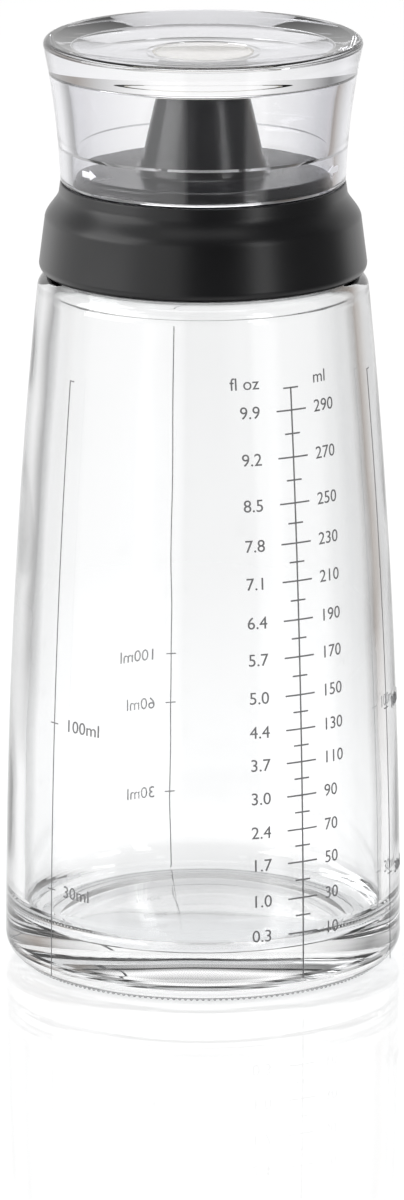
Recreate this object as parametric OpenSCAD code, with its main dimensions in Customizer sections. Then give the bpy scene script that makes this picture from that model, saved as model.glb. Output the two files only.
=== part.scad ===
// Salad dressing shaker: a glass bottle with a black screw collar, a pouring spout and a clear twist cap.
// Millimetres. The origin is the centre of the foot, on the surface that the bottle stands on. +Z is up.

/* [Bottle] */
// Widest diameter of the glass, just above the foot
base_d = 71.6; // [66:0.2:78]
// Diameter of the glass where the shoulder starts
shoulder_d = 59.4; // [56:0.2:62]
// Height from the foot to the start of the shoulder
body_h = 123.8; // [100:0.2:145]
// Thickness of the glass wall
wall = 3.3; // [2.5:0.1:4]
// Radius of the rounded heel between wall and foot
heel_r = 4.6; // [3:0.1:6]
// Radius of the rounded shoulder edge
shoulder_r = 2.4; // [1.5:0.1:3.5]
// Width of the flat ring that the bottle stands on
foot_w = 3.6; // [2:0.1:5]
// Height of the hollow under the bottle
punt_h = 3.4; // [2:0.1:4.5]
// Height of the inside floor at its edge
floor_h = 8.2; // [7.5:0.1:12]
// Rise of the inside floor from its edge to its middle
floor_rise = 2.8; // [1:0.1:4]
// Radius of the inside corner between floor and wall
corner_r = 5; // [3:0.1:7]

/* [Neck] */
// Height of the neck above the shoulder
neck_h = 8.6; // [7.5:0.1:11]
// Thickness of the glass in the neck
neck_wall = 3.1; // [2.4:0.1:3.4]
// Thickness of the glass at the shoulder
throat_t = 1.5; // [1.2:0.1:2.5]
// Radius of the inside corner under the shoulder
throat_r = 2.6; // [1:0.1:3]
// Thickness of the gasket on the rim
gasket_t = 1.3; // [1:0.1:2]

/* [Collar] */
// How far the collar's widest edge stays inside the glass shoulder
collar_inset = 0.35; // [0.1:0.05:1]
// Loss of radius for each millimetre up the collar's wall
collar_taper = 0.105; // [0:0.005:0.15]
// How much narrower the top rim of the collar is than its foot, in radius
collar_step = 3.8; // [3.4:0.1:4.4]
// Thickness of the outer shell
shell_t = 1.8; // [1.4:0.1:2]
// Gap between the outer shell and the threaded sleeve
shell_gap = 2.15; // [1.8:0.05:2.6]
// Thickness of the threaded sleeve
sleeve_t = 1.4; // [1.1:0.1:1.7]
// Radial room for the thread between neck and sleeve
neck_thread_room = 1.5; // [1.2:0.1:1.8]
// Thickness of the flange that rests on the gasket
flange_t = 1.5; // [1.2:0.1:2.2]
// Depth of the well that takes the cap's skirt
well_h = 5.45; // [5:0.05:8]
// Thickness of the rim round the well
rim_t = 0.85; // [0.6:0.05:1.2]
// Number of ribs between shell and sleeve
rib_count = 12; // [6:1:24]
// Thickness of a rib
rib_t = 1; // [0.8:0.1:1.4]

/* [Pouring spout] */
// Height of the deck above the collar's flange
deck_h = 8; // [6:0.1:9]
// Thickness of the deck
deck_t = 1.6; // [1.2:0.1:2]
// Height of the spout above the deck
spout_h = 16.15; // [12:0.05:24]
// Outer diameter of the spout at its foot
spout_foot_d = 22.2; // [20:0.2:26]
// Outer diameter of the spout at its lip
spout_lip_d = 15.8; // [13:0.2:18]
// Wall of the spout
spout_wall = 1.5; // [1.2:0.1:2]
// Radius of the fillet between deck and spout
spout_fillet = 1.2; // [0.6:0.1:2]
// Thickness of the ring that snaps into the collar
clip_t = 1.1; // [0.9:0.1:1.4]

/* [Cap] */
// Growth of the cap's radius from its lower edge to its rim
cap_flare = 3; // [1.5:0.1:4]
// Thickness of the cap's top from ceiling to rim
top_t = 5.5; // [5:0.1:8]
// Depth of the dish in the top
dish_h = 2; // [1:0.1:3]
// Power of the dish's curve: 2 is a parabola, and more leaves its middle flatter
dish_power = 2.4; // [2:0.1:4]
// Radius of the rounded rim
rim_r = 1; // [0.6:0.1:1.3]
// Wall of the cap, which keeps this thickness from the ledge up to the ceiling
cap_wall = 3.15; // [2.9:0.05:3.6]
// Height of the inner ledge above the lower edge
ledge_h = 6; // [4:0.1:9]
// Length of the skirt that goes into the collar
skirt_l = 4.6; // [3.5:0.1:5]
// Thickness of the skirt
skirt_t = 0.9; // [0.8:0.05:1.1]
// Radial room for the quick thread between skirt and collar
cap_thread_room = 0.7; // [0.6:0.05:0.9]
// Radius between the ceiling and the wall
ceiling_r = 2.2; // [1:0.1:4]
// How far the silicone disc reaches past the spout's lip
seal_margin = 1.3; // [0.8:0.1:2]
// Thickness of the silicone disc under the ceiling
seal_t = 1.6; // [1.2:0.1:2.4]
// Length of the plug that goes into the spout
plug_l = 1.7; // [1:0.1:3]

/* [Hidden] */
$fn = 96;
arc_steps = 8;
wall_steps = 14;

// Running and seating clearances
lift_gap = 0.5;
seat_gap = 0.35;
side_gap = 0.6;
snap_fit = 0.05;
plug_gap = 0.5;
clip_gap = 0.9;

// Small radii and details
edge_r = 0.5;
rim_edge_r = 1;
neck_fillet = 0.8;
collar_edge_r = 1.7;
deck_edge_r = 0.8;
chamfer = 0.2;
barb_out = 0.35;
barb_h = 0.45;
rib_rise = 1.5;
pocket_drop = 0.7;
sleeve_rise = 0.7;
seat_w = 1.2;

// Radii, from the shoulder inwards
base_r = base_d / 2;
top_r = shoulder_d / 2;
lean = atan(2 * (base_r - top_r) / body_h);
collar_r = top_r - collar_inset;
socket_r = collar_r - shell_t - shell_gap - sleeve_t;
neck_r = socket_r - neck_thread_room;
bore_r = neck_r - neck_wall;
collar_top_r = collar_r - collar_step;
well_r = collar_top_r - rim_t;
skirt_r = well_r - cap_thread_room;
deck_r = skirt_r - skirt_t - side_gap;
cap_r = collar_top_r - snap_fit;
clip_r = bore_r - clip_gap;
flange_bore_r = clip_r + snap_fit;
lip_r = spout_lip_d / 2;
seal_r = lip_r + seal_margin;

// Heights, from the shoulder upwards
shoulder_z = body_h + shoulder_r * (1 - sin(lean));
rim_z = shoulder_z + neck_h;
flange_z = rim_z + gasket_t;
well_z = flange_z + flange_t;
collar_z = shoulder_z + lift_gap;
collar_rim_z = well_z + well_h;
deck_z = well_z + deck_h;
spout_z = deck_z + spout_h;
cap_z = collar_rim_z + seat_gap;
ceiling_z = spout_z + snap_fit + seal_t;
cap_rim_z = ceiling_z + top_t;
dish_r = cap_r + cap_flare - 2 * rim_r;

// Points along an arc, from angle a to angle b
function arc(x, z, r, a, b) = [
    for (i = [0:arc_steps]) let (t = a + (b - a) * i / arc_steps) [x + r * cos(t), z + r * sin(t)]
];

// A smooth step from 0 to 1
function ease(t) = t * t * (3 - 2 * t);

// A smooth bend between two points of a profile
function bend(p, q) = [
    for (i = [0:arc_steps]) let (t = i / arc_steps) [p[0] + (q[0] - p[0]) * ease(t), p[1] + (q[1] - p[1]) * t]
];

// Height of a shallow spherical bowl of radius r and rise h, above its edge, at radius x
function bowl(x, r, h) = let (s = (r * r + h * h) / (2 * h)) sqrt(s * s - x * x) - s + h;

// Outer radius of the glass: it draws in more and more towards the shoulder
function body_r(z) = base_r - (base_r - top_r) * pow(z / body_h, 2);

// Outer radius of the cap: it flares more and more towards its rim
function cap_side_r(z) = let (t = (z - cap_z) / (cap_rim_z - rim_r - cap_z))
    cap_r + cap_flare * (0.28 * t + 0.72 * t * t);

// Outer radius of the collar's wall, with its slight taper
function collar_side_r(z) = collar_r - collar_taper * (z - collar_z);

module lathe(profile) {
    rotate_extrude() polygon(profile);
}

// Glass: foot, wall, shoulder and neck outside; neck, throat, wall and domed floor inside
module bottle() {
    foot_r = base_r - heel_r;
    punt_r = foot_r - foot_w;
    throat_z = shoulder_z - throat_t;
    inner_z = throat_z - throat_r;
    floor_r = base_r - wall - corner_r;
    inner_r = body_r(inner_z) - wall;
    outside = concat(
        [for (i = [0:arc_steps]) let (x = punt_r * i / arc_steps) [x, bowl(x, punt_r, punt_h)]],
        arc(foot_r, heel_r, heel_r, -90, 0),
        [for (i = [1:wall_steps]) let (z = heel_r + (body_h - heel_r) * i / wall_steps) [body_r(z), z]],
        arc(top_r - shoulder_r * cos(lean), body_h - shoulder_r * sin(lean), shoulder_r, lean + 8, 90),
        arc(neck_r + neck_fillet, shoulder_z + neck_fillet, neck_fillet, 270, 180),
        arc(neck_r - rim_edge_r, rim_z - rim_edge_r, rim_edge_r, 0, 90)
    );
    inside = concat(
        arc(bore_r + rim_edge_r, rim_z - rim_edge_r, rim_edge_r, 90, 180),
        arc(bore_r + neck_fillet, throat_z + neck_fillet, neck_fillet, 180, 270),
        arc(inner_r - throat_r, inner_z, throat_r, 90, 4),
        [
            for (i = [1:wall_steps])
                let (z = inner_z + (floor_h + corner_r - inner_z) * i / wall_steps) [body_r(z) - wall, z]
        ],
        arc(body_r(floor_h + corner_r) - wall - corner_r, floor_h + corner_r, corner_r, -8, -90),
        [
            for (i = [1:arc_steps])
                let (x = floor_r * (1 - i / arc_steps)) [x, floor_h + bowl(x, floor_r, floor_rise)]
        ]
    );
    color([0.82, 0.88, 0.9, 0.35]) lathe(concat(outside, inside));
}

// Flat silicone ring between the glass rim and the collar's flange
module neck_gasket() {
    color([0.88, 0.87, 0.82]) translate([0, 0, rim_z]) difference() {
        cylinder(h = gasket_t, r = socket_r - seat_gap);
        translate([0, 0, -1]) cylinder(h = gasket_t + 2, r = bore_r + side_gap / 2);
    }
}

// Black moulded collar: outer shell, threaded sleeve, flange with the spout's hole, and the cap's well
module collar() {
    turn_z = well_z - 1.2;
    turn_top_z = turn_z + 5;
    sleeve_z = collar_z + sleeve_rise;
    pocket_z = flange_z - pocket_drop;
    shell = concat(
        arc(collar_r - collar_edge_r, collar_z + collar_edge_r, collar_edge_r, -90, 0),
        bend([collar_side_r(turn_z), turn_z], [collar_top_r + chamfer, turn_top_z]),
        [
            [collar_top_r, collar_rim_z - chamfer],
            [collar_top_r - chamfer, collar_rim_z],
            [well_r + chamfer, collar_rim_z],
            [well_r, collar_rim_z - chamfer],
            [well_r, well_z],
            [flange_bore_r, well_z],
            [flange_bore_r, flange_z],
            [socket_r, flange_z],
            [socket_r, sleeve_z + edge_r],
            [socket_r + edge_r, sleeve_z],
            [socket_r + sleeve_t, sleeve_z],
            [socket_r + sleeve_t, pocket_z],
            [collar_side_r(pocket_z) - shell_t, pocket_z],
            [collar_r - shell_t, collar_z + collar_edge_r],
            [collar_r - shell_t, collar_z]
        ]
    );
    color([0.09, 0.09, 0.1]) union() {
        lathe(shell);
        intersection() {
            for (i = [0:rib_count - 1]) rotate([0, 0, 360 * i / rib_count])
                translate([socket_r + sleeve_t / 2, -rib_t / 2, sleeve_z + rib_rise])
                    cube([sleeve_t / 2 + shell_gap + shell_t, rib_t, pocket_z - sleeve_z]);
            translate([0, 0, collar_z])
                cylinder(h = well_z - collar_z, r = collar_side_r(pocket_z) - shell_t / 2);
        }
    }
}

// Black insert: a deck with the conical spout, and a clip ring that snaps under the collar's flange
module pour_spout() {
    foot_r = spout_foot_d / 2;
    under_z = deck_z - deck_t;
    clip_z = flange_z - 1;
    cone_z = deck_z + spout_fillet;
    profile = concat(
        [[deck_r, well_z]],
        arc(deck_r - deck_edge_r, deck_z - deck_edge_r, deck_edge_r, 0, 90),
        arc(foot_r + spout_fillet, cone_z, spout_fillet, 270, 190),
        arc(lip_r - edge_r, spout_z - edge_r, edge_r, 10, 90),
        [
            [lip_r - spout_wall + edge_r, spout_z],
            [lip_r - spout_wall, spout_z - edge_r],
            [foot_r - spout_wall, deck_z],
            [foot_r - spout_wall + edge_r, under_z],
            [clip_r - clip_t, under_z],
            [clip_r - clip_t, clip_z],
            [clip_r - chamfer, clip_z],
            [clip_r + barb_out, clip_z + barb_h],
            [clip_r, flange_z - snap_fit],
            [clip_r, under_z],
            [deck_r - deck_t, under_z],
            [deck_r - deck_t, well_z]
        ]
    );
    color([0.13, 0.13, 0.14]) lathe(profile);
}

// Silicone disc under the cap's ceiling, with the plug that closes the spout
module cap_seal() {
    plug_r = lip_r - spout_wall - plug_gap;
    disc_z = ceiling_z - seal_t;
    color([0.9, 0.88, 0.8]) lathe([
        [0, disc_z - plug_l],
        [plug_r - edge_r, disc_z - plug_l],
        [plug_r, disc_z - plug_l + edge_r],
        [plug_r, disc_z],
        [seal_r, disc_z],
        [seal_r, ceiling_z],
        [0, ceiling_z]
    ]);
}

// Clear cap: flared wall, dished lens top, inner ledge, seal seat and threaded skirt
module cap() {
    wide_r = skirt_r - skirt_t;
    skirt_z = cap_z - skirt_l;
    ledge_z = cap_z + ledge_h;
    seat_r = seal_r + snap_fit;
    seat_z = ceiling_z - seal_t * 0.75;
    roof_z = ceiling_z - ceiling_r;
    side_top_z = cap_rim_z - rim_r;
    profile = concat(
        [
            for (i = [0:wall_steps])
                let (z = cap_z + (side_top_z - cap_z) * i / wall_steps) [cap_side_r(z), z]
        ],
        arc(cap_r + cap_flare - rim_r, side_top_z, rim_r, 20, 90),
        [
            for (i = [0:wall_steps])
                let (x = dish_r * (1 - i / wall_steps))
                    [x, cap_rim_z - dish_h * (1 - pow(x / dish_r, dish_power))]
        ],
        [
            [0, ceiling_z],
            [seat_r, ceiling_z],
            [seat_r, seat_z],
            [seat_r + seat_w, seat_z],
            [seat_r + seat_w, ceiling_z]
        ],
        arc(cap_side_r(roof_z) - cap_wall - ceiling_r, roof_z, ceiling_r, 90, 8),
        [
            for (i = [1:arc_steps])
                let (z = roof_z + (ledge_z - roof_z) * i / arc_steps) [cap_side_r(z) - cap_wall, z]
        ],
        [
            [wide_r, ledge_z],
            [wide_r, skirt_z],
            [skirt_r - 0.2, skirt_z],
            [skirt_r, skirt_z + 0.3],
            [skirt_r, cap_z]
        ]
    );
    color([0.85, 0.88, 0.9, 0.4]) lathe(profile);
}

bottle();
neck_gasket();
collar();
pour_spout();
cap_seal();
cap();
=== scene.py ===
import bpy
import math
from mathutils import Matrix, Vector


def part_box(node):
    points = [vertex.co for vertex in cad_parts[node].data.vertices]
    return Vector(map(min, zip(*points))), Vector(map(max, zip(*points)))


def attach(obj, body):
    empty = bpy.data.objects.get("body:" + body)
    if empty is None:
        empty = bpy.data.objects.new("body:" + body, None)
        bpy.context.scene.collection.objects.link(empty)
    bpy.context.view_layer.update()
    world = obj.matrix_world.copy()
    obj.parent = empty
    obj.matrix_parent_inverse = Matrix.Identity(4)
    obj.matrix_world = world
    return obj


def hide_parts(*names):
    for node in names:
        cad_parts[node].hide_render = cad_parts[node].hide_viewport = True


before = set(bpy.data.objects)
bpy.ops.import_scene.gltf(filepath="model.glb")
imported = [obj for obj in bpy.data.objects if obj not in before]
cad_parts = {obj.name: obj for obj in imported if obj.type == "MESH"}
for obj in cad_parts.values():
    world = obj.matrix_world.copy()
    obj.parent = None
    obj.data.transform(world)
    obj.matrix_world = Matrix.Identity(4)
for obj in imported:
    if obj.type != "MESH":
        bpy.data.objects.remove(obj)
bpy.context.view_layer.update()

mm = 0.001
fullTurn = 2 * math.pi
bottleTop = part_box("bottle")[1].z / mm
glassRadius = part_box("bottle")[1].x / mm
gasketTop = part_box("neck_gasket")[1].z / mm
collarFoot, collarRim = (corner.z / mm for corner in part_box("collar"))
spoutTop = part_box("pour_spout")[1].z / mm
sealFoot, sealTop = (corner.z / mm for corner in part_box("cap_seal"))
capFoot, capRim = (corner.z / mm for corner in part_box("cap"))


# shapes that several pieces share, all in mm and degrees

meshing = {
    "merge": 0.004,  # points nearer than this become one
    "crease": 35,  # a sharper edge stays sharp
    "corner": 2.5,  # a smaller turn of a profile is no corner
    "longFace": 0.35,  # a shorter face needs no points that hold its shading
    "reach": 0.08,  # from a corner to the point that holds the shading
}
ridge = {"sink": 0.3, "lift": 0.02, "nearWall": 0.05}  # how a thread sits in its wall


def deselectAll():
    bpy.ops.object.select_all(action="DESELECT")


def arc(x, z, r, start, end, steps):  # points of a round corner
    angles = [math.radians(start + (end - start) * i / steps) for i in range(steps + 1)]
    return [(x + r * math.cos(a), z + r * math.sin(a)) for a in angles]


def between(low, high, count):  # equal steps from low to high, without low itself
    return [low + (high - low) * (i / count) for i in range(1, count + 1)]


def smooth(t):  # eases in and out from 0 to 1
    return t * t * (3 - 2 * t)


def bend(p, q, steps):  # smooth S between two points of a profile
    shares = [0, *between(0, 1, steps)]
    return [(p[0] + (q[0] - p[0]) * smooth(t), p[1] + (q[1] - p[1]) * t) for t in shares]


def bowl(x, r, h):  # height of a shallow spherical bowl above its edge
    sphere = (r * r + h * h) / (2 * h)
    return math.sqrt(sphere * sphere - x * x) - sphere + h


def drawProfile(name, points):  # (radius, height) of each point, left in edit mode
    deselectAll()
    bpy.ops.mesh.primitive_plane_add(size=mm, location=(0, 0, 0))
    piece = bpy.context.object
    piece.name = piece.data.name = name
    bpy.ops.object.mode_set(mode="EDIT")
    bpy.ops.mesh.select_all(action="SELECT")
    bpy.ops.mesh.merge(type="CENTER")  # one vertex is left, and the profile grows from it
    bpy.ops.transform.translate(value=(points[0][0] * mm, 0, points[0][1] * mm))
    for (x0, z0), (x1, z1) in zip(points, points[1:]):
        step = ((x1 - x0) * mm, 0, (z1 - z0) * mm)
        bpy.ops.mesh.extrude_region_move(TRANSFORM_OT_translate={"value": step})
    return piece


def holdEdges(points):  # an extra point close to each corner keeps the smooth shading of long faces true
    sides = [Vector(ahead) - Vector(here) for here, ahead in zip(points, points[1:])]
    corner = math.radians(meshing["corner"])
    held = points[:1]
    for i, side in enumerate(sides):
        if side.length > meshing["longFace"]:
            hold = side.normalized() * meshing["reach"]
            if i > 0 and sides[i - 1].angle(side, 0) > corner:
                held.append(tuple(Vector(points[i]) + hold))
            if i + 1 < len(sides) and sides[i + 1].angle(side, 0) > corner:
                held.append(tuple(Vector(points[i + 1]) - hold))
        held.append(points[i + 1])
    return held


def closeMesh():  # from edit mode: points that meet become one, and faces point outwards
    bpy.ops.mesh.select_all(action="SELECT")
    bpy.ops.mesh.remove_doubles(threshold=meshing["merge"] * mm)
    bpy.ops.mesh.normals_make_consistent(inside=False)
    bpy.ops.object.mode_set(mode="OBJECT")


def turnProfile(name, points, steps, crease=meshing["crease"]):
    piece = drawProfile(name, holdEdges(points))
    bpy.ops.mesh.select_all(action="SELECT")
    bpy.ops.mesh.spin(steps=steps, angle=fullTurn, center=(0, 0, 0), axis=(0, 0, 1))
    closeMesh()
    bpy.ops.object.shade_smooth_by_angle(angle=math.radians(crease))
    return piece


def threadRidge(name, values, startAngle=0):  # one start of a thread, faded out at both ends
    base, crest = values["baseRadius"], values["crestRadius"]
    half, tip = values["footWidth"] / 2, values["crestWidth"] / 2
    out = 1 if crest > base else -1
    z, climb = values["startHeight"], values["lead"] * values["turns"]
    root = base - ridge["sink"] * out
    corners = [(root, z - half), (base, z - half), (crest, z - tip), (crest, z + tip),
               (base, z + half), (root, z + half)]
    piece = drawProfile(name, corners + corners[:1])
    bpy.ops.mesh.select_all(action="SELECT")
    bpy.ops.mesh.remove_doubles(threshold=meshing["merge"] * mm)
    bpy.ops.object.mode_set(mode="OBJECT")
    screw = piece.modifiers.new("Thread", "SCREW")
    screw.angle = fullTurn * values["turns"]
    screw.screw_offset = climb * mm
    screw.steps = screw.render_steps = values["steps"]
    bpy.ops.object.modifier_apply(modifier=screw.name)
    for vertex in piece.data.vertices:
        flat = Vector((vertex.co.x, vertex.co.y))
        rise = (vertex.co.z / mm - z) / climb
        ease = smooth(min(1, max(0, min(rise, 1 - rise)) / values["fade"]))
        stand = flat.length / mm - base
        if stand * out > ridge["nearWall"]:
            flat = flat.normalized() * (base + stand * ease + ridge["lift"] * out) * mm
        vertex.co.x, vertex.co.y = flat
    bpy.ops.object.mode_set(mode="EDIT")
    bpy.ops.mesh.select_all(action="SELECT")
    bpy.ops.mesh.fill_holes(sides=0)
    bpy.ops.mesh.select_all(action="SELECT")
    bpy.ops.transform.rotate(value=-startAngle, orient_axis="Z", center_override=(0, 0, 0))
    bpy.ops.mesh.normals_make_consistent(inside=False)
    bpy.ops.object.mode_set(mode="OBJECT")
    bpy.ops.object.shade_smooth_by_angle(angle=math.radians(meshing["crease"]))
    return piece


def joinPieces(pieces):  # all of them into the first
    deselectAll()
    for piece in pieces:
        piece.select_set(True)
    bpy.context.view_layer.objects.active = pieces[0]
    bpy.ops.object.join()
    return pieces[0]


def dress(piece, body, material):
    piece.data.materials.clear()
    piece.data.materials.append(material)
    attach(piece, body)


# materials

def startMaterial(name):
    material = bpy.data.materials.new(name)
    material.use_nodes = True
    tree = material.node_tree
    return material, tree, tree.nodes["Principled BSDF"]


def setInputs(tree, node, inputs):  # plain values, or outputs of other nodes
    for key, source in inputs.items():
        if isinstance(source, bpy.types.NodeSocket):
            tree.links.new(source, node.inputs[key])
        else:
            node.inputs[key].default_value = source


def addNode(tree, kind, inputs=None, **settings):
    node = tree.nodes.new(kind)
    for key, value in settings.items():
        setattr(node, key, value)
    setInputs(tree, node, inputs or {})
    return node


def addRamp(tree, factor, stops):  # stops are (place, grey or colour)
    node = addNode(tree, "ShaderNodeValToRGB", {"Fac": factor})
    elements = node.color_ramp.elements
    elements[0].position = stops[0][0]
    elements[1].position = stops[-1][0]
    for place, _ in stops[1:-1]:
        elements.new(place)
    for element, (_, shade) in zip(elements, stops):
        element.color = (*shade, 1) if isinstance(shade, tuple) else (shade, shade, shade, 1)
    return node.outputs["Color"]


def addNoise(tree, scale, detail):
    place = addNode(tree, "ShaderNodeTexCoord").outputs["Object"]
    noise = addNode(tree, "ShaderNodeTexNoise", {"Vector": place, "Scale": scale, "Detail": detail})
    return noise.outputs["Fac"]


def cloudRamp(tree, cloud, dark, light):  # most of the noise lies between these two places
    return addRamp(tree, cloud, [(0.3, dark), (0.7, light)])


def mapRange(tree, source, before=(0, 1), after=(0, 1)):
    inputs = {"Value": source, "From Min": before[0], "From Max": before[1], "To Min": after[0],
              "To Max": after[1]}
    return addNode(tree, "ShaderNodeMapRange", inputs).outputs["Result"]


def calculate(tree, operation, first, second):
    return addNode(tree, "ShaderNodeMath", {0: first, 1: second}, operation=operation).outputs["Value"]


def mixShaders(tree, factor, first, second):
    return addNode(tree, "ShaderNodeMixShader", {0: factor, 1: first, 2: second}).outputs["Shader"]


def mixColours(tree, factor, first, second, mode="MIX"):
    inputs = {"Factor": factor, "A": first, "B": second}
    return addNode(tree, "ShaderNodeMix", inputs, data_type="RGBA", blend_type=mode).outputs["Result"]


def addBump(tree, shader, source, depth, strength=1):  # depth in mm
    bump = addNode(tree, "ShaderNodeBump", {"Height": source, "Strength": strength, "Distance": depth * mm})
    setInputs(tree, shader, {"Normal": bump.outputs["Normal"]})


def clearMaterial(name, look):  # glass and clear plastic: painted shade darkens the colour where it is seen edge on
    material, tree, shader = startMaterial(name)
    facing = addNode(tree, "ShaderNodeLayerWeight").outputs["Facing"]
    smears = addNoise(tree, look["smearScale"], 4)
    # the base colour carries painted shade, darker the more edge on the surface is seen
    setInputs(tree, shader, {
        "Base Color": addRamp(tree, facing, look["edgeShadeStops"]), "Transmission Weight": 1,
        "Roughness": mapRange(tree, smears, after=(0, look["roughness"])), "IOR": look["ior"],
    })
    addBump(tree, shader, addNoise(tree, look["waveScale"], 1), look["waveDepth"])
    shadowRay = addNode(tree, "ShaderNodeLightPath").outputs["Is Shadow Ray"]
    through = addNode(tree, "ShaderNodeBsdfTransparent", {"Color": (*look["shadowTint"], 1)})
    surface = mixShaders(tree, shadowRay, shader.outputs["BSDF"], through.outputs["BSDF"])
    setInputs(tree, tree.nodes["Material Output"], {"Surface": surface})
    return material


def mouldedMaterial(name, look):  # plastic, silicone and print: fine grain, cloudy gloss
    material, tree, shader = startMaterial(name)
    cloud = addNoise(tree, look["cloudScale"], 3)
    setInputs(tree, shader, {
        "Base Color": cloudRamp(tree, cloud, look["darkColour"], look["lightColour"]),
        "Roughness": mapRange(tree, cloud, after=look["roughness"]), "Specular IOR Level": look["gloss"],
    })
    addBump(tree, shader, addNoise(tree, look["grainScale"], 2), look["grainDepth"], look["grainStrength"])
    return material


glassLook = {
    "ior": 1.5, "smearScale": 90, "roughness": 0.03, "waveScale": 36, "waveDepth": 0.4,
    # painted shade: the glass colour grows darker the more edge on it is seen
    "edgeShadeStops": [(0.0, (0.99, 0.993, 0.995)), (0.34, (0.985, 0.988, 0.99)), (0.40, (0.9, 0.905, 0.91)),
                  (0.66, (0.88, 0.885, 0.89)), (0.76, (0.45, 0.455, 0.46)), (0.95, (0.12, 0.12, 0.125))],
    "shadowTint": (0.93, 0.94, 0.95),
}
capLook = {
    "ior": 1.5, "smearScale": 120, "roughness": 0.02, "waveScale": 60, "waveDepth": 0.05,
    # painted shade: the cap colour grows darker and a little bluer the more edge on it is seen
    "edgeShadeStops": [(0.0, (0.98, 0.98, 0.985)), (0.12, (0.965, 0.965, 0.975)), (0.27, (0.89, 0.89, 0.91)),
                  (0.43, (0.81, 0.81, 0.84)), (0.6, (0.74, 0.74, 0.78)), (0.8, (0.7, 0.7, 0.74)),
                  (0.95, (0.42, 0.42, 0.46))],
    "shadowTint": (0.95, 0.95, 0.97),
}
collarLook = {
    "darkColour": (0.006, 0.006, 0.0065), "lightColour": (0.009, 0.009, 0.01), "cloudScale": 60,
    "roughness": (0.26, 0.34), "gloss": 0.3, "grainScale": 2600, "grainDepth": 0.02, "grainStrength": 0.35,
}
spoutLook = {
    "darkColour": (0.008, 0.008, 0.009), "lightColour": (0.012, 0.012, 0.013), "cloudScale": 80,
    "roughness": (0.2, 0.3), "gloss": 0.5, "grainScale": 2200, "grainDepth": 0.01, "grainStrength": 0.25,
}
sealLook = {
    "darkColour": (0.78, 0.75, 0.66), "lightColour": (0.86, 0.84, 0.76), "cloudScale": 140,
    "roughness": (0.45, 0.6), "gloss": 0.5, "grainScale": 1800, "grainDepth": 0.02, "grainStrength": 0.3,
}
gasketLook = {
    "darkColour": (0.72, 0.71, 0.68), "lightColour": (0.8, 0.79, 0.76), "cloudScale": 120,
    "roughness": (0.4, 0.55), "gloss": 0.5, "grainScale": 1800, "grainDepth": 0.02, "grainStrength": 0.3,
}
inkLook = {
    "darkColour": (0.13, 0.13, 0.133), "lightColour": (0.2, 0.2, 0.205), "cloudScale": 900,
    "roughness": (0.5, 0.7), "gloss": 0.5, "grainScale": 4000, "grainDepth": 0.005, "grainStrength": 0.3,
}
markLook = {
    "darkColour": (0.78, 0.78, 0.82), "lightColour": (0.86, 0.86, 0.9), "cloudScale": 700,
    "roughness": (0.3, 0.45), "gloss": 0.5, "grainScale": 3000, "grainDepth": 0.01, "grainStrength": 0.3,
}
bottleGlass = clearMaterial("bottleGlass", glassLook)
capPlastic = clearMaterial("capPlastic", capLook)
collarPlastic = mouldedMaterial("collarPlastic", collarLook)
spoutPlastic = mouldedMaterial("spoutPlastic", spoutLook)
sealSilicone = mouldedMaterial("sealSilicone", sealLook)
gasketSilicone = mouldedMaterial("gasketSilicone", gasketLook)
scaleInk = mouldedMaterial("scaleInk", inkLook)
markWhite = mouldedMaterial("markWhite", markLook)
print("materials done")


# the glass bottle

bottle = {  # cornerStart, shoulderStart and throatEnd are where a round part leaves the leaning wall
    "baseRadius": glassRadius, "topRadius": 29.7, "bodyHeight": 123.8, "wall": 3.3,
    "heelRadius": 4.6, "footWidth": 3.6, "footFlat": 1.2, "puntHeight": 3.4, "puntEdge": 0.5,
    "floorHeight": 8.2, "floorRise": 2.8, "cornerRadius": 5, "cornerStart": -6,
    "shoulderRadius": 2.4, "shoulderStart": 8, "shoulderWall": 1.5, "throatRadius": 2.6, "throatEnd": 4,
    "neckRadius": 22.5, "boreRadius": 19.4, "neckHeight": 8.6, "neckFillet": 0.8, "rimEdge": 1,
    "wallRows": 24, "bowlRows": 12, "steps": 288, "crease": 60,
}
stipple = {"count": 196, "radius": 0.32, "ring": 32.7, "sides": 10}
neckThread = {
    "baseRadius": bottle["neckRadius"], "crestRadius": 23.6, "footWidth": 2.0, "crestWidth": 0.9,
    "startHeight": 128.0, "lead": 4.23, "turns": 1.1, "steps": 160, "fade": 0.12,
}


def bodyRadius(z):  # outside of the glass, which draws in faster towards the top
    draw = bottle["baseRadius"] - bottle["topRadius"]
    return bottle["baseRadius"] - draw * (z / bottle["bodyHeight"]) ** 2


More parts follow.
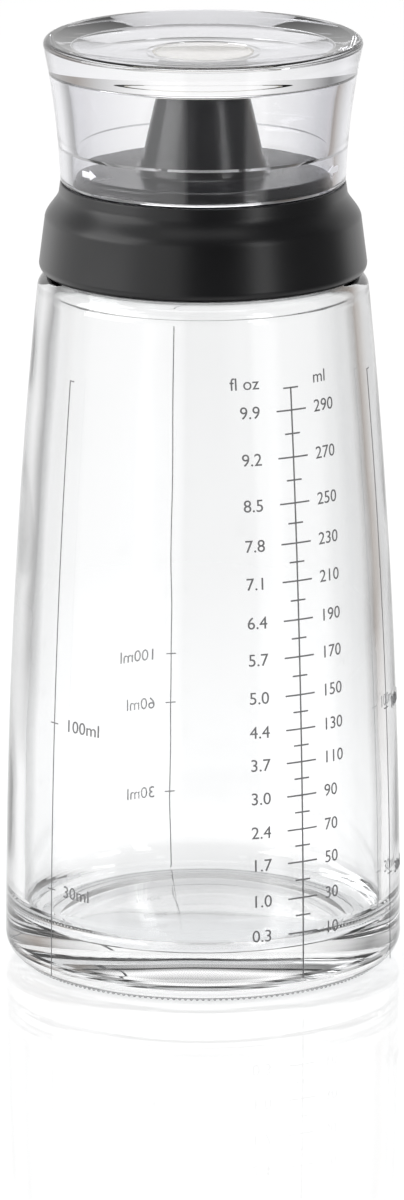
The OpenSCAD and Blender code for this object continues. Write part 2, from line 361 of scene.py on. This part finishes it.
def bottleProfile():
    b = bottle
    wall, heel, fillet, edge = b["wall"], b["heelRadius"], b["neckFillet"], b["rimEdge"]
    footRadius = b["baseRadius"] - heel
    puntRadius = footRadius - b["footWidth"]
    shoulder = bottleTop - b["neckHeight"]
    lean = math.atan(2 * (b["baseRadius"] - b["topRadius"]) / b["bodyHeight"])
    turn = b["shoulderRadius"]
    turnCentre = b["topRadius"] - turn * math.cos(lean), b["bodyHeight"] - turn * math.sin(lean)
    throat = shoulder - b["shoulderWall"]
    inner = throat - b["throatRadius"]
    corner = b["floorHeight"] + b["cornerRadius"]
    floorRadius = b["baseRadius"] - wall - b["cornerRadius"]

    punt = [0, *between(0, puntRadius, b["bowlRows"])[:-1]]
    points = [(x, bowl(x, puntRadius, b["puntHeight"])) for x in punt]
    points += arc(puntRadius + b["puntEdge"], b["puntEdge"], b["puntEdge"], 180, 270, 4)
    points += [(footRadius - b["footFlat"], 0)]
    points += arc(footRadius, heel, heel, -90, 0, 14)
    points += [(bodyRadius(z), z) for z in between(heel, b["bodyHeight"], b["wallRows"])]
    points += arc(*turnCentre, turn, math.degrees(lean) + b["shoulderStart"], 90, 10)
    points += arc(b["neckRadius"] + fillet, shoulder + fillet, fillet, 270, 180, 6)
    points += arc(b["neckRadius"] - edge, bottleTop - edge, edge, 0, 90, 8)
    points += arc(b["boreRadius"] + edge, bottleTop - edge, edge, 90, 180, 8)
    points += arc(b["boreRadius"] + fillet, throat + fillet, fillet, 180, 270, 6)
    points += arc(bodyRadius(inner) - wall - b["throatRadius"], inner, b["throatRadius"],
                  90, b["throatEnd"], 8)
    points += [(bodyRadius(z) - wall, z) for z in between(inner, corner, b["wallRows"])]
    points += arc(bodyRadius(corner) - wall - b["cornerRadius"], corner, b["cornerRadius"],
                  b["cornerStart"], -90, 12)
    floor = between(floorRadius, 0, b["bowlRows"])
    return points + [(x, b["floorHeight"] + bowl(x, floorRadius, b["floorRise"])) for x in floor]


def footBeads():  # the fine stippling round the edge that the bottle stands on
    radius, ring = stipple["radius"], stipple["ring"]
    piece = drawProfile("footBeads", arc(ring, radius, radius, -90, 90, 6))
    centre = (ring * mm, 0, radius * mm)
    bpy.ops.mesh.select_all(action="SELECT")
    bpy.ops.mesh.spin(steps=stipple["sides"], angle=fullTurn, center=centre, axis=(0, 0, 1))
    bpy.ops.mesh.select_all(action="SELECT")
    bpy.ops.mesh.remove_doubles(threshold=meshing["merge"] * mm)
    bpy.ops.mesh.select_all(action="SELECT")
    bpy.ops.mesh.spin(steps=stipple["count"], angle=fullTurn, center=(0, 0, 0), axis=(0, 0, 1), dupli=True)
    closeMesh()
    bpy.ops.object.shade_smooth()
    return piece


glassBottle = turnProfile("glassBottle", bottleProfile(), bottle["steps"], bottle["crease"])
joinPieces([glassBottle, footBeads()])
dress(glassBottle, "bottle", bottleGlass)
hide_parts("bottle")
glassThread = threadRidge("glassThread", neckThread)
dress(glassThread, "bottle", bottleGlass)
print("glass bottle done")


# the gasket between rim and collar

gasket = {"outerRadius": 23.65, "innerRadius": 19.7, "round": 0.25, "steps": 192}


def gasketProfile():
    low, high, r = bottleTop, gasketTop, gasket["round"]
    outer, inner = gasket["outerRadius"] - r, gasket["innerRadius"] + r
    points = arc(outer, low + r, r, -90, 0, 4) + arc(outer, high - r, r, 0, 90, 4)
    points += arc(inner, high - r, r, 90, 180, 4) + arc(inner, low + r, r, 180, 270, 4)
    return points + points[:1]


neckGasket = turnProfile("neckGasket", gasketProfile(), gasket["steps"])
dress(neckGasket, "gasket", gasketSilicone)
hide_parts("neck_gasket")
print("neck gasket done")


# the black collar

collar = {
    "footRadius": 29.35, "taper": 0.105, "footEdge": 1.7, "topRadius": 25.55, "wellRadius": 24.7,
    "flangeBore": 18.55, "flangeHeight": 135.86, "wellHeight": 137.36, "socketRadius": 24.0,
    "sleeve": 1.4, "shell": 1.8, "sleeveRise": 0.7, "pocketDrop": 0.7,
    "turnDrop": 1.2, "turnRise": 3.8, "turnStep": 0.2,
    "rimRound": 0.25, "wellRound": 0.3, "boreEdge": 0.2, "sleeveLead": 0.5, "sleeveRound": 0.3,
    "ribs": 12, "ribThickness": 1.0, "ribRise": 1.5, "ribSink": 0.2, "ribReach": 0.3, "ribEdge": 0.2,
    "steps": 256,
}
collarThread = {
    "baseRadius": collar["socketRadius"], "crestRadius": 22.95, "footWidth": 1.8, "crestWidth": 0.8,
    "startHeight": 129.2, "lead": 4.23, "turns": 1.0, "steps": 160, "fade": 0.12,
}
wellThread = {
    "baseRadius": collar["wellRadius"], "crestRadius": 24.25, "footWidth": 0.9, "crestWidth": 0.5,
    "startHeight": 138.4, "lead": 12, "turns": 0.25, "starts": 3, "steps": 60, "fade": 0.15,
}


def collarSide(z):
    return collar["footRadius"] - collar["taper"] * (z - collarFoot)


def collarProfile():
    c = collar
    edge, rim, well, bore = c["footEdge"], c["rimRound"], c["wellRound"], c["boreEdge"]
    lead, tip = c["sleeveLead"], c["sleeveRound"]
    turnFoot, turnTop = c["wellHeight"] - c["turnDrop"], c["wellHeight"] + c["turnRise"]
    sleeveFoot, sleeveOut = collarFoot + c["sleeveRise"], c["socketRadius"] + c["sleeve"]
    pocket, inside = c["flangeHeight"] - c["pocketDrop"], c["footRadius"] - c["shell"]

    points = arc(c["footRadius"] - edge, collarFoot + edge, edge, -90, 0, 10)
    points += bend((collarSide(turnFoot), turnFoot), (c["topRadius"] + c["turnStep"], turnTop), 16)
    points += arc(c["topRadius"] - rim, collarRim - rim, rim, 0, 90, 4)
    points += arc(c["wellRadius"] + rim, collarRim - rim, rim, 90, 180, 4)
    points += arc(c["wellRadius"] - well, c["wellHeight"] + well, well, 0, -90, 4)
    points += [(c["flangeBore"] + bore, c["wellHeight"]), (c["flangeBore"], c["wellHeight"] - bore)]
    points += [(c["flangeBore"], c["flangeHeight"] + bore), (c["flangeBore"] + bore, c["flangeHeight"])]
    points += arc(c["socketRadius"] - bore, c["flangeHeight"] - bore, bore, 90, 0, 3)
    points += arc(c["socketRadius"] + lead, sleeveFoot + lead, lead, 180, 270, 5)
    points += arc(sleeveOut - tip, sleeveFoot + tip, tip, -90, 0, 4)
    points += [(sleeveOut, pocket), (collarSide(pocket) - c["shell"], pocket)]
    points += [(inside, collarFoot + edge), (inside, collarFoot)]
    return points + points[:1]


def collarRibs():  # webs that tie the sleeve to the outer shell
    c = collar
    low = collarFoot + c["sleeveRise"] + c["ribRise"]
    high = c["flangeHeight"] - c["pocketDrop"] + c["ribSink"]
    inner = c["socketRadius"] + c["sleeve"] - c["ribSink"]
    outer = collarSide(high) - c["shell"] + c["ribReach"]
    size = ((outer - inner) * mm, c["ribThickness"] * mm, (high - low) * mm)
    middle = ((inner + outer) / 2 * mm, 0, (low + high) / 2 * mm)
    ribs = []
    for i in range(c["ribs"]):
        deselectAll()
        bpy.ops.mesh.primitive_cube_add(size=1, location=(0, 0, 0))
        ribs.append(bpy.context.object)
        bpy.ops.object.mode_set(mode="EDIT")
        bpy.ops.transform.resize(value=size)
        bpy.ops.mesh.bevel(offset=c["ribEdge"] * mm, segments=2, affect="EDGES")
        bpy.ops.transform.translate(value=middle)
        angle = -fullTurn * i / c["ribs"]
        bpy.ops.transform.rotate(value=angle, orient_axis="Z", center_override=(0, 0, 0))
        bpy.ops.object.mode_set(mode="OBJECT")
    return ribs


def threadStarts(name, values):  # several ridges side by side, as on a quick thread
    starts = values["starts"]
    return [threadRidge(f"{name}{i}", values, fullTurn * i / starts) for i in range(starts)]


collarShell = turnProfile("collarShell", collarProfile(), collar["steps"])
wellRidges = threadStarts("wellThread", wellThread)
joinPieces([collarShell, *collarRibs(), threadRidge("collarThread", collarThread), *wellRidges])
dress(collarShell, "collar", collarPlastic)
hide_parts("collar")
print("collar done")


# the pouring spout with its deck

spout = {
    "deckRadius": 22.5, "deckHeight": 145.36, "deckThickness": 1.6, "deckRound": 0.8, "fillet": 1.2,
    "footRadius": 11.1, "lipRadius": 7.9, "lipRound": 0.7, "coneLean": 10, "wall": 1.5, "boreFlare": 0.8,
    "clipRadius": 18.5, "clipThickness": 1.1, "clipDrop": 1, "clipLead": 0.1, "clipPlay": 0.05,
    "barb": 0.35, "barbHeight": 0.45, "steps": 192,
}


def spoutProfile():
    s = spout
    deck, curve, lip, lean = s["deckHeight"], s["deckRound"], s["lipRound"], s["coneLean"]
    under, cone = deck - s["deckThickness"], deck + s["fillet"]
    bore, clip = s["footRadius"] - s["wall"], s["clipRadius"] - s["clipThickness"]
    clipFoot = collar["flangeHeight"] - s["clipDrop"]
    skirt = s["deckRadius"] - s["deckThickness"]

    points = [(s["deckRadius"], collar["wellHeight"])]
    points += arc(s["deckRadius"] - curve, deck - curve, curve, 0, 90, 6)
    points += arc(s["footRadius"] + s["fillet"], cone, s["fillet"], 270, 180 + lean, 8)
    points += arc(s["lipRadius"] - lip, spoutTop - lip, lip, lean, 90, 6)
    points += arc(s["lipRadius"] - s["wall"] + lip, spoutTop - lip, lip, 90, 180, 6)
    points += [(bore, deck), (bore + s["boreFlare"], under), (clip, under), (clip, clipFoot)]
    points += [(s["clipRadius"] - s["clipLead"], clipFoot)]
    points += [(s["clipRadius"] + s["barb"], clipFoot + s["barbHeight"])]
    points += [(s["clipRadius"], collar["flangeHeight"] - s["clipPlay"]), (s["clipRadius"], under)]
    points += [(skirt, under), (skirt, collar["wellHeight"])]
    return points + points[:1]


pourSpout = turnProfile("pourSpout", spoutProfile(), spout["steps"])
dress(pourSpout, "collar", spoutPlastic)
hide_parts("pour_spout")
print("pouring spout done")


# the silicone seal with its plug

seal = {
    "discRadius": 9.2, "discThickness": 1.6, "discRound": 0.25, "plugRadius": 5.9, "edge": 0.5,
    "hollow": 0.35, "plugFlat": 2, "recess": 0.2, "contact": 0.4, "contactSlope": 0.2, "steps": 160,
}


def sealProfile():  # the disc touches the ceiling at its edge alone
    s = seal
    disc, recess = sealTop - s["discThickness"], sealTop - s["recess"]
    e, r, contact = s["edge"], s["discRound"], s["discRadius"] - s["contact"]
    points = [(0, sealFoot + s["hollow"]), (s["plugRadius"] - s["plugFlat"], sealFoot)]
    points += arc(s["plugRadius"] - e, sealFoot + e, e, -90, 0, 5)
    points += [(s["plugRadius"], disc)]
    points += arc(s["discRadius"] - r, disc + r, r, -90, 0, 4)
    points += [(s["discRadius"], sealTop), (contact, sealTop)]
    return points + [(contact - s["contactSlope"], recess), (0, recess)]


capSeal = turnProfile("capSeal", sealProfile(), seal["steps"])
dress(capSeal, "seal", sealSilicone)
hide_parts("cap_seal")
print("seal done")


# the clear cap

cap = {
    "footRadius": 25.5, "footEdge": 0.15, "lowerEdge": 143.16, "flare": 3, "flareStart": 0.28,
    "rimRound": 1, "rimStart": 20, "dishDepth": 2, "dishPower": 2.4, "wall": 3.15,
    "ceiling": sealTop, "ceilingRound": 0.6, "ceilingEnd": 8, "ledgeHeight": 6, "ledgeEdge": 0.2,
    "facet": 0.4, "ledgeSlope": 1.05, "skirtRadius": 24.0, "skirtThickness": 0.9, "skirtEdge": 0.2,
    "skirtLead": 0.3, "seatRadius": 9.25, "seatWidth": 1.2, "seatShare": 0.75,
    "hollowRows": 12, "sideRows": 16, "dishRows": 24, "steps": 256,
}
skirtThread = {
    "baseRadius": cap["skirtRadius"], "crestRadius": 24.45, "footWidth": 0.9, "crestWidth": 0.5,
    "startHeight": 139.2, "lead": 12, "turns": 0.2, "starts": 3, "steps": 48, "fade": 0.15,
}


def capSide(z):
    t = (z - cap["lowerEdge"]) / (capRim - cap["rimRound"] - cap["lowerEdge"])
    return cap["footRadius"] + cap["flare"] * (cap["flareStart"] * t + (1 - cap["flareStart"]) * t * t)


def capProfile():
    c = cap
    ceiling, low, facet, edge = c["ceiling"], c["lowerEdge"], c["facet"], c["footEdge"]
    foot, skirt, top = c["footRadius"], c["skirtRadius"], c["footRadius"] + c["flare"]
    rim, roof, ledge = capRim - c["rimRound"], ceiling - c["ceilingRound"], low + c["ledgeHeight"]
    seat, ring = ceiling - seal["discThickness"] * c["seatShare"], c["seatRadius"] + c["seatWidth"]
    wide, dish = skirt - c["skirtThickness"], top - 2 * c["rimRound"]
    step = wide - (capSide(ledge) - c["wall"])

    points = [(0, ceiling), (c["seatRadius"], ceiling), (c["seatRadius"], seat)]
    points += [(ring, seat), (ring, ceiling)]
    turn = c["ceilingRound"]
    points += arc(capSide(roof) - c["wall"] - turn, roof, turn, 90, c["ceilingEnd"], 8)
    hollow = between(roof, ledge + c["ledgeEdge"], c["hollowRows"])[:-1]
    points += [(capSide(z) - c["wall"], z) for z in hollow]
    points += [(wide - step, ledge + c["ledgeSlope"] * step), (wide, ledge)]  # a slope that lights up
    points += [(wide, capFoot), (skirt - c["skirtEdge"], capFoot), (skirt, capFoot + c["skirtLead"])]
    points += [(skirt, low + facet), (foot - facet - edge, low + facet)]
    points += [(foot - edge, low), (foot, low + edge)]
    points += [(capSide(z), z) for z in between(low, rim, c["sideRows"])]
    points += arc(top - c["rimRound"], rim, c["rimRound"], c["rimStart"], 90, 6)
    radii = [dish, *between(dish, 0, c["dishRows"])]
    return points + [(x, capRim - c["dishDepth"] * (1 - (x / dish) ** c["dishPower"])) for x in radii]


clearCap = turnProfile("clearCap", capProfile(), cap["steps"])
joinPieces([clearCap, *threadStarts("skirtThread", skirtThread)])
dress(clearCap, "cap", capPlastic)
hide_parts("cap")
print("cap done")


# the printed scale on the glass

printing = {
    "sideDegrees": 30, "lift": 0.05, "depth": 0.06, "sunkShare": 0.4, "cellWidth": 0.8, "cellHeight": 4,
    "foot": 3.8, "top": 111.0, "lineWidth": 0.28, "longTick": 3.0, "shortTick": 1.5,
    "marks": [12.3, 18.7, 25.3, 31.3, 37.5, 43.6, 49.6, 55.8, 62.7, 69.4, 76.4, 83.2, 90.4, 98.6, 107.0],
    "firstAmount": 10, "amountStep": 20,
    "ounces": ["0.3", "1.0", "1.7", "2.4", "3.0", "3.7", "4.4", "5.0", "5.7", "6.4", "7.1", "7.8", "8.5",
               "9.2", "9.9"],
    "digitHeight": 2.2, "digitShare": 0.7, "digitMerge": 0.001, "curveSteps": 4,
    "digitPlace": 4.7, "ouncePlace": 6.1, "unitHeight": 112.2,
    "panelFoot": 2.0, "panelTop": 110.7, "panelTick": 1.0, "panelWidth": 0.2, "amountPlace": 3.0,
    "panels": {  # degrees round the glass, then each amount's height
        -49.5: {48.7: "100ml", 18.1: "30ml"},
        70.5: {48.7: "100ml", 18.1: "30ml"},
        190.5: {47.4: "100ml", 38.2: "60ml", 21.1: "30ml"},
    },
}


def wrapRound(piece, degrees, lift, radiusAt):  # flat x and y become a place round the wall and a height
    around = math.radians(degrees) - math.pi / 2
    for vertex in piece.data.vertices:
        x, z, out = vertex.co
        r = radiusAt(z / mm) * mm + lift * mm + out
        angle = around + x / r
        vertex.co = (r * math.cos(angle), r * math.sin(angle), z)


def inkBar(x0, z0, x1, z1):  # a flat bar, cut up so that it can follow the glass
    deselectAll()
    bpy.ops.mesh.primitive_cube_add(size=1, location=(0, 0, 0))
    bar = bpy.context.object
    bpy.ops.object.mode_set(mode="EDIT")
    size = ((x1 - x0) * mm, (z1 - z0) * mm, printing["depth"] * mm)
    middle = ((x0 + x1) / 2 * mm, (z0 + z1) / 2 * mm, -printing["sunkShare"] * size[2])
    bpy.ops.transform.resize(value=size)
    bpy.ops.transform.translate(value=middle)
    for normal, low, high, cell in (((1, 0, 0), x0, x1, "cellWidth"), ((0, 1, 0), z0, z1, "cellHeight")):
        for place in between(low, high, max(1, round((high - low) / printing[cell])))[:-1]:
            point = [place * mm * part for part in normal]
            bpy.ops.mesh.select_all(action="SELECT")
            bpy.ops.mesh.bisect(plane_co=point, plane_no=normal)
    bpy.ops.object.mode_set(mode="OBJECT")
    return bar


def inkNumber(text, x, z, align):
    deselectAll()
    bpy.ops.object.text_add(location=(0, 0, 0))
    curve = bpy.context.object.data
    curve.body = text
    curve.align_x = align
    curve.align_y = "CENTER"
    curve.size = printing["digitHeight"] * mm / printing["digitShare"]
    curve.extrude = printing["depth"] / 2 * mm
    curve.resolution_u = printing["curveSteps"]
    bpy.ops.object.convert(target="MESH")
    bpy.ops.object.mode_set(mode="EDIT")
    bpy.ops.mesh.select_all(action="SELECT")
    bpy.ops.mesh.remove_doubles(threshold=printing["digitMerge"] * mm)
    bpy.ops.transform.translate(value=(x * mm, z * mm, 0))
    bpy.ops.object.mode_set(mode="OBJECT")
    return bpy.context.object


def scaleParts():
    p = printing
    half, marks = p["lineWidth"] / 2, p["marks"]
    parts = [inkBar(-half, p["foot"], half, p["top"])]
    for i, (z, following) in enumerate(zip(marks, [*marks[1:], 2 * p["top"] - marks[-1]])):
        middle = (z + following) / 2
        parts.append(inkBar(-p["longTick"], z - half, p["longTick"], z + half))
        parts.append(inkBar(-p["shortTick"], middle - half, p["shortTick"], middle + half))
        parts.append(inkNumber(str(p["firstAmount"] + p["amountStep"] * i), p["digitPlace"], z, "LEFT"))
        parts.append(inkNumber(p["ounces"][i], -p["ouncePlace"], z, "RIGHT"))
    parts.append(inkNumber("ml", p["digitPlace"], p["unitHeight"], "LEFT"))
    parts.append(inkNumber("fl oz", -p["ouncePlace"], p["unitHeight"], "RIGHT"))
    return parts


def panelParts(amounts):  # a line with a tick at its top and at each amount
    p = printing
    half, tick, high = p["panelWidth"] / 2, p["panelTick"], p["panelTop"]
    parts = [inkBar(-half, p["panelFoot"], half, high), inkBar(-half, high - half, tick, high + half)]
    for z, amount in amounts.items():
        parts.append(inkBar(-tick, z - half, tick, z + half))
        parts.append(inkNumber(amount, p["amountPlace"], z, "LEFT"))
    return parts


def printOn(parts, degrees):  # joins flat print and lays it on the glass
    piece = joinPieces(parts)
    wrapRound(piece, degrees, printing["lift"], bodyRadius)
    return piece


volumeScale = printOn(scaleParts(), printing["sideDegrees"])
volumeScale.name = volumeScale.data.name = "volumeScale"
panels = [printOn(panelParts(amounts), degrees) for degrees, amounts in printing["panels"].items()]
joinPieces([volumeScale, *panels])
dress(volumeScale, "bottle", scaleInk)
print("scale done")


# the two raised arrows on the cap

arrow = {
    "height": 147.0, "length": 3.9, "headLength": 1.7, "headHeight": 1.9, "shaftHeight": 1.1,
    "depth": 0.3, "edge": 0.08, "sink": 0.1,
    "places": {-51.5: 1, 63.5: -1},  # degrees round the cap, then the way it points
}


def capArrow(degrees, way):
    a = arrow
    tip, neck, tail = a["length"] / 2, a["length"] / 2 - a["headLength"], -a["length"] / 2
    half, wide = a["shaftHeight"] / 2, a["headHeight"] / 2
    outline = [(tail, half), (tail, -half), (neck, -half), (neck, -wide), (tip, 0), (neck, wide),
               (neck, half)]
    piece = drawProfile("capArrow", outline)
    bpy.ops.mesh.select_all(action="SELECT")
    bpy.ops.mesh.edge_face_add()
    bpy.ops.mesh.extrude_region_move(TRANSFORM_OT_translate={"value": (0, -a["depth"] * mm, 0)})
    bpy.ops.mesh.select_all(action="SELECT")
    bpy.ops.mesh.bevel(offset=a["edge"] * mm, segments=2, affect="EDGES")
    bpy.ops.object.mode_set(mode="OBJECT")
    for vertex in piece.data.vertices:  # lay it flat: across, up, out
        vertex.co = (vertex.co.x * way, vertex.co.z + a["height"] * mm, -vertex.co.y - a["sink"] * mm)
    wrapRound(piece, degrees, 0, capSide)
    bpy.ops.object.mode_set(mode="EDIT")
    closeMesh()
    return piece


capArrows = joinPieces([capArrow(degrees, way) for degrees, way in arrow["places"].items()])
dress(capArrows, "cap", markWhite)
print("arrows done")


# studio: floor, light and camera

studio = {
    "floorRadius": 4, "floorSides": 96, "floorCloud": 3, "floorGreys": (0.47, 0.48),
    "floorRoughness": 0.6, "floorGlow": 0.57, "floorMirror": 0.25, "mirrorRoughness": 0.02,
    "whiteRadius": (0.16, 0.3),  # between these the floor passes into the room, in mirrors and glass
    "softGrey": 0.7, "heightStops": [(0.0, 1.0), (0.28, 0.95), (0.42, 0.5), (1.0, 0.35)],
    "cameraPlace": (-0.0002, -1.782, 0.508), "cameraPitch": 13.94, "lens": 305.6, "lampAim": 0.09,
}
room = {  # what glass and gloss see all round, by degrees to the right of the camera's side
    "ringGlow": 1.5,
    "ring": {-155: 0.66, -140: 1.0, -16: 1.0, -11: 0.03, 31: 0.03, 35: 0.8, 48: 0.8, 54: 0.1,
             110: 0.15, 128: 0.9, 150: 0.66},
    "sweepGlow": 1.1,
    "sweep": {-179: 1.0, -168: 1.0, -150: 0.68, -136: 0.3, -105: 0.8, -28: 0.8, -12: 0.14,
              30: 0.14, 45: 0.7, 60: 0.3, 110: 0.3, 136: (0.34, 0.3, 0.27), 150: 0.62, 168: 1.0, 179: 1.0},
}
lamps = {  # degrees to the right of the camera's side
    "leftBox": {"degrees": -75, "height": 0.75, "distance": 1.4, "width": 1.3, "length": 1.2, "power": 16},
    "rightStrip": {"degrees": 43, "height": 0.6, "distance": 1.5, "width": 0.28, "length": 1.1, "power": 4},
    "topBox": {"degrees": 0, "height": 1.9, "distance": 0.05, "width": 1.4, "length": 1.4, "power": 14},
}


def roomShade(tree, vector, shades):  # behind the object is the middle of the ramp
    split = addNode(tree, "ShaderNodeSeparateXYZ", {"Vector": vector})
    angle = calculate(tree, "ARCTAN2", split.outputs["X"], split.outputs["Y"])
    stops = sorted(((-degrees % 360) / 360, shade) for degrees, shade in shades.items())
    return addRamp(tree, mapRange(tree, angle, before=(-math.pi, math.pi)), stops)


def roomColour(tree, vector, path):  # plain mirror rays see the ring, those turned inside glass the sweep
    levels = []
    for shades, glow in ((room["ring"], room["ringGlow"]), (room["sweep"], room["sweepGlow"])):
        inputs = {0: roomShade(tree, vector, shades), "Scale": glow}
        levels.append(addNode(tree, "ShaderNodeVectorMath", inputs, operation="SCALE").outputs["Vector"])
    seen = mixColours(tree, path.outputs["Transmission Depth"], *levels)
    return mixColours(tree, path.outputs["Glossy Depth"], (1, 1, 1, 1), seen)


def glassRays(tree, path):  # 1 for rays that gloss or glass send out
    return calculate(tree, "MAXIMUM", path.outputs["Is Glossy Ray"], path.outputs["Is Transmission Ray"])


def floorMaterial():  # grey under the object; further out, mirrors and glass see the floor glow with the room's painted light
    material, tree, shader = startMaterial("studioFloor")
    cloud = addNoise(tree, studio["floorCloud"], 2)
    setInputs(tree, shader, {"Base Color": cloudRamp(tree, cloud, *studio["floorGreys"]),
                             "Roughness": studio["floorRoughness"], "Specular IOR Level": 0})
    path = addNode(tree, "ShaderNodeLightPath")
    mirrored = glassRays(tree, path)
    shown = calculate(tree, "MAXIMUM", path.outputs["Is Camera Ray"], mirrored)
    glow = calculate(tree, "MULTIPLY", shown, studio["floorGlow"])
    emission = addNode(tree, "ShaderNodeEmission", {"Strength": glow})
    lit = addNode(tree, "ShaderNodeAddShader", {0: shader.outputs["BSDF"], 1: emission.outputs["Emission"]})
    gloss = addNode(tree, "ShaderNodeBsdfGlossy", {"Roughness": studio["mirrorRoughness"]})
    near = mixShaders(tree, studio["floorMirror"], lit.outputs["Shader"], gloss.outputs["BSDF"])
    place = addNode(tree, "ShaderNodeTexCoord").outputs["Object"]
    reach = addNode(tree, "ShaderNodeVectorMath", {0: place}, operation="LENGTH").outputs["Value"]
    away = calculate(tree, "MULTIPLY", mirrored, mapRange(tree, reach, before=studio["whiteRadius"]))
    # painted light: out there the floor glows bright and dark by compass direction, in place of the
    # studio's lamps and dark gaps
    far = addNode(tree, "ShaderNodeEmission", {"Color": roomColour(tree, place, path)})
    surface = mixShaders(tree, away, near, far.outputs["Emission"])
    setInputs(tree, tree.nodes["Material Output"], {"Surface": surface})
    return material


def softbox(name, degrees, height, distance, width, length, power):
    angle = math.radians(degrees - 90)
    place = Vector((distance * math.cos(angle), distance * math.sin(angle), height))
    bpy.ops.object.light_add(type="AREA", location=place)
    lamp = bpy.context.object
    lamp.name = name
    lamp.data.shape = "RECTANGLE"
    lamp.data.size, lamp.data.size_y = width, length
    lamp.data.energy = power
    aim = Vector((0, 0, studio["lampAim"])) - place
    lamp.rotation_euler = aim.to_track_quat("-Z", "Y").to_euler()


def studioWorld():  # white for the camera, the room for glass and gloss, soft grey for the light
    world = bpy.data.worlds.new("studioWorld")
    bpy.context.scene.world = world
    world.use_nodes = True
    tree = world.node_tree
    sky = tree.nodes["Background"]
    direction = addNode(tree, "ShaderNodeTexCoord").outputs["Generated"]
    split = addNode(tree, "ShaderNodeSeparateXYZ", {"Vector": direction})
    height = addRamp(tree, split.outputs["Z"], studio["heightStops"])
    path = addNode(tree, "ShaderNodeLightPath")
    side = roomColour(tree, direction, path)
    setInputs(tree, sky, {"Color": mixColours(tree, 1, height, side, "MULTIPLY")})
    grey = studio["softGrey"]
    soft = addNode(tree, "ShaderNodeBackground", {"Color": (grey, grey, grey, 1)})
    backdrop = addNode(tree, "ShaderNodeBackground", {"Color": (1, 1, 1, 1)})
    lit = mixShaders(tree, glassRays(tree, path), soft.outputs["Background"], sky.outputs["Background"])
    surface = mixShaders(tree, path.outputs["Is Camera Ray"], lit, backdrop.outputs["Background"])
    setInputs(tree, tree.nodes["World Output"], {"Surface": surface})


deselectAll()
bpy.ops.mesh.primitive_circle_add(vertices=studio["floorSides"], radius=studio["floorRadius"],
                                  fill_type="NGON")
studioFloor = bpy.context.object
studioFloor.name = "studioFloor"
studioFloor.data.materials.append(floorMaterial())
for name, values in lamps.items():
    softbox(name, **values)
studioWorld()
bpy.ops.object.camera_add(location=studio["cameraPlace"])
camera = bpy.context.object
camera.rotation_euler = (math.radians(90 - studio["cameraPitch"]), 0, 0)
camera.data.lens = studio["lens"]
bpy.context.scene.camera = camera
bpy.context.scene.view_settings.view_transform = "Standard"
print("studio done")
